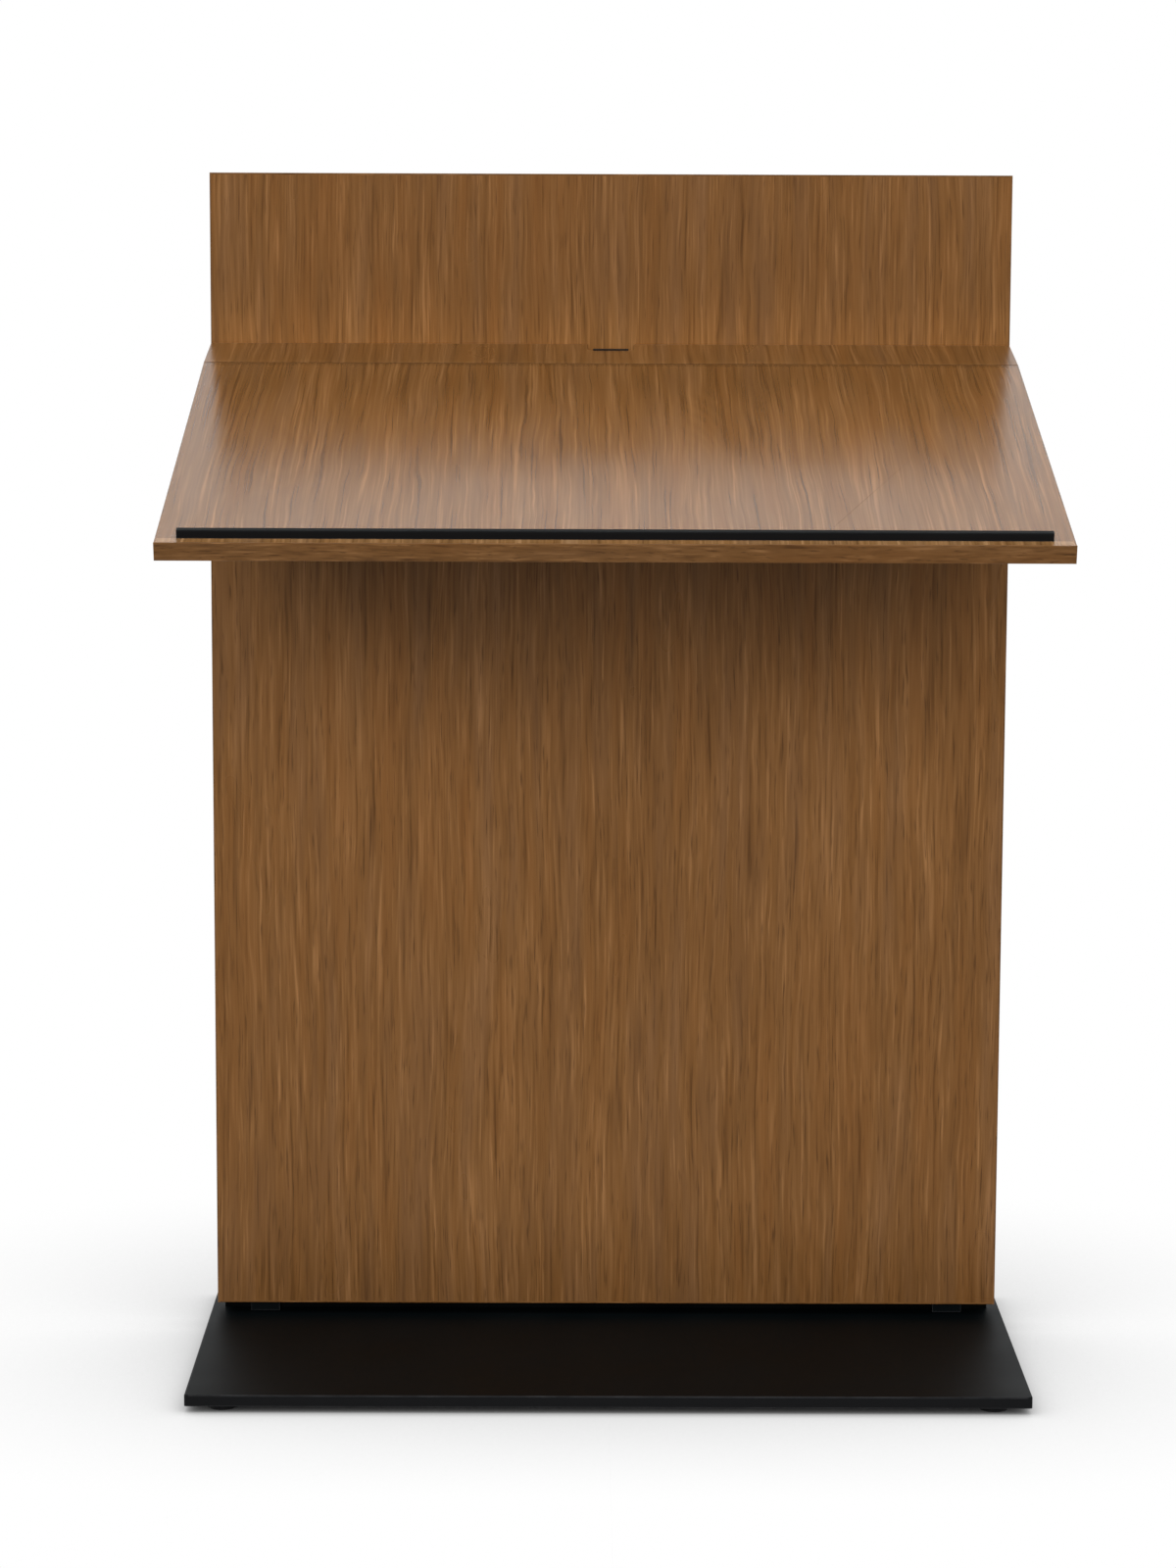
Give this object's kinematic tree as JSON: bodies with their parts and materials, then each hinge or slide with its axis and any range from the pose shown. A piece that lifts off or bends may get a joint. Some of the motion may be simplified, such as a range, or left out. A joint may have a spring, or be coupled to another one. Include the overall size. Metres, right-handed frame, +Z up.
{
  "type": "lectern",
  "caption": "Standing lectern: sloping veneered worksurface with a stop bar and rear ledge, carried by a tall panel on a flat steel base plate with levelling glides.",
  "frame": {"origin": "on the floor, below the middle of the whole lectern's box", "axes": "+Z up, +Y towards the audience, +X to the speaker's right as the speaker faces the audience"},
  "size_m": [0.88, 0.748, 1.274],
  "materials": {
    "veneer": "satin lacquered walnut veneer, figure running up the panels and up the slope",
    "lipping": "satin lacquered solid walnut edge strip",
    "softwood": "planed batten stained to match",
    "beech": "planed beech",
    "black_steel": "satin black powder coat",
    "zinc": "bright zinc plated",
    "nylon": "matt black nylon"
  },
  "bodies": {
    "lectern": {"base_plate": "black_steel", "upright_left": "black_steel", "upright_right": "black_steel", "foot_bolts": "zinc", "upright_screws": "zinc", "plinth_strip": "black_steel", "plinth_screws": "zinc", "tall_panel": "veneer", "tall_lipping_left": "lipping", "tall_lipping_right": "lipping", "tall_lipping_top": "lipping", "tall_lipping_bottom": "lipping", "lower_panel": "veneer", "lower_lipping_left": "lipping", "lower_lipping_right": "lipping", "lower_lipping_bottom": "lipping", "side_batten_left": "softwood", "side_batten_right": "softwood", "chase_batten_left": "softwood", "chase_batten_right": "softwood", "bottom_rail_left": "softwood", "bottom_rail_right": "softwood", "top_rail_left": "softwood", "top_rail_right": "softwood", "batten_screws": "zinc", "ledge": "veneer", "ledge_lipping_left": "lipping", "ledge_lipping_right": "lipping", "slot_edge_strip": "nylon", "worksurface": "veneer", "work_lipping_front": "lipping", "work_lipping_left": "lipping", "work_lipping_right": "lipping", "seam_dowels": "beech", "bracket_left": "black_steel", "bracket_right": "black_steel", "bracket_bolts": "zinc", "top_screws": "zinc", "cleat": "beech", "cleat_screws": "zinc", "stop_bar": "black_steel", "stop_bar_screws": "zinc"},
    "glide_front_left": {"glide_stem_front_left": "zinc", "glide_pad_front_left": "nylon"},
    "glide_back_left": {"glide_stem_back_left": "zinc", "glide_pad_back_left": "nylon"},
    "glide_front_right": {"glide_stem_front_right": "zinc", "glide_pad_front_right": "nylon"},
    "glide_back_right": {"glide_stem_back_right": "zinc", "glide_pad_back_right": "nylon"}
  },
  "joints": [
    {"name": "glide_front_left_height", "type": "slide", "parent": "lectern", "child": "glide_front_left", "axis": [0, 0, -1], "range_m": [0, 0.005]},
    {"name": "glide_back_left_height", "type": "slide", "parent": "lectern", "child": "glide_back_left", "axis": [0, 0, -1], "range_m": [0, 0.005]},
    {"name": "glide_front_right_height", "type": "slide", "parent": "lectern", "child": "glide_front_right", "axis": [0, 0, -1], "range_m": [0, 0.005]},
    {"name": "glide_back_right_height", "type": "slide", "parent": "lectern", "child": "glide_back_right", "axis": [0, 0, -1], "range_m": [0, 0.005]}
  ]
}
